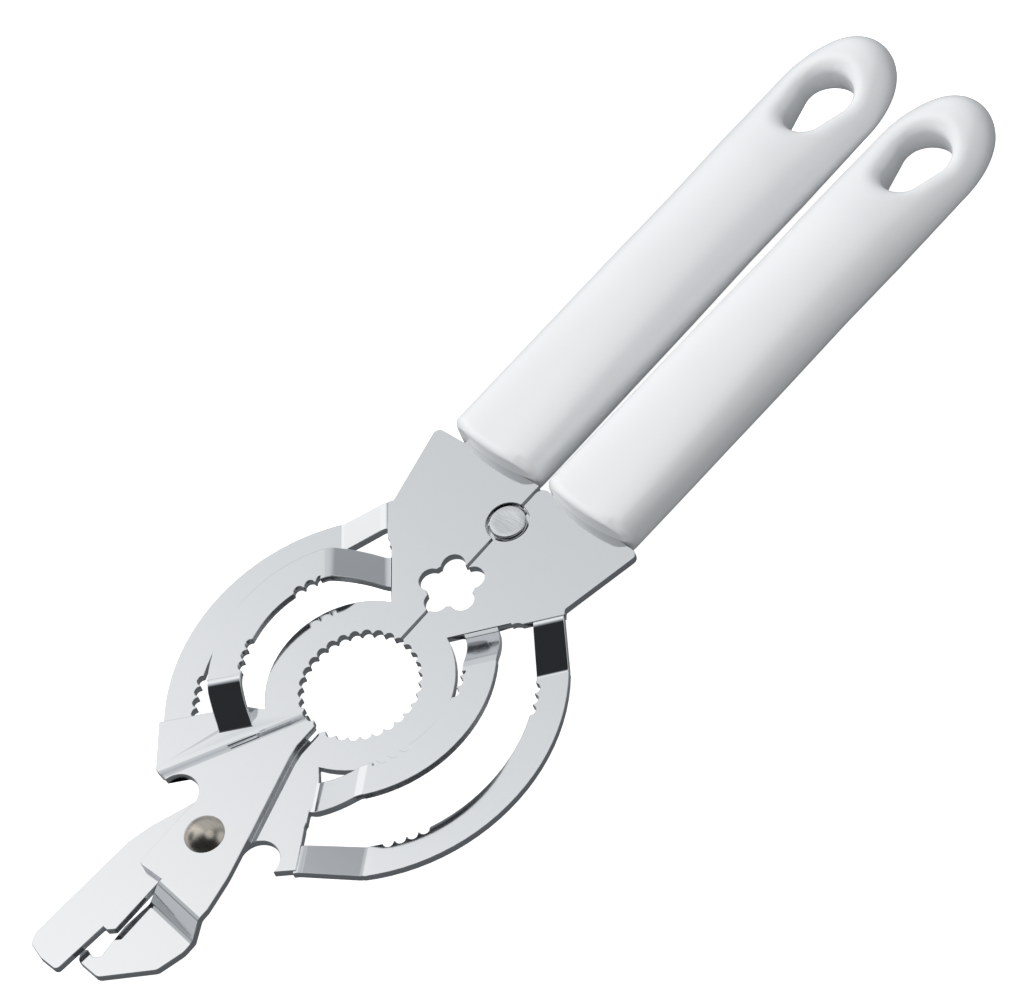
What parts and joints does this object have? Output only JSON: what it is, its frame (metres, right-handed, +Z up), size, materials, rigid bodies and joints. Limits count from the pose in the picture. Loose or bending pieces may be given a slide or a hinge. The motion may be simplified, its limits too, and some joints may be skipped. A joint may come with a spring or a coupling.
{
  "type": "plier-type multi opener",
  "caption": "Plier-type kitchen opener in pressed mirror steel with a toothed ring, stepped gripping arcs, cap lifters, a hooked nose and white plastic handles",
  "frame": {"origin": "middle of the closed tool's overall box in plan, on the level of the handles' lowest faces", "axes": "X across the tool toward the right handle, Y along the seam from the nose toward the handle ends, Z up through the plates toward the domed rivet head"},
  "size_m": [0.0696, 0.216, 0.0125],
  "materials": {
    "mirror_steel": "bright plated pressed steel",
    "nickel_rivet": "warm nickel with fine turning marks",
    "stud_steel": "satin steel",
    "white_plastic": "glossy white moulded plastic"
  },
  "bodies": {
    "right_half": {"lower_plate": "mirror_steel", "pivot_rivet": "nickel_rivet", "stop_stud": "stud_steel", "stop_tongue": "mirror_steel", "right_handle": "white_plastic"},
    "left_half": {"upper_plate": "mirror_steel", "left_handle": "white_plastic"}
  },
  "joints": [
    {"name": "pivot", "type": "hinge", "parent": "right_half", "child": "left_half", "pos_m": [-0.002, -0.0754, 0.0075], "axis": [0, 0, 1], "range_deg": [0, 35]}
  ]
}
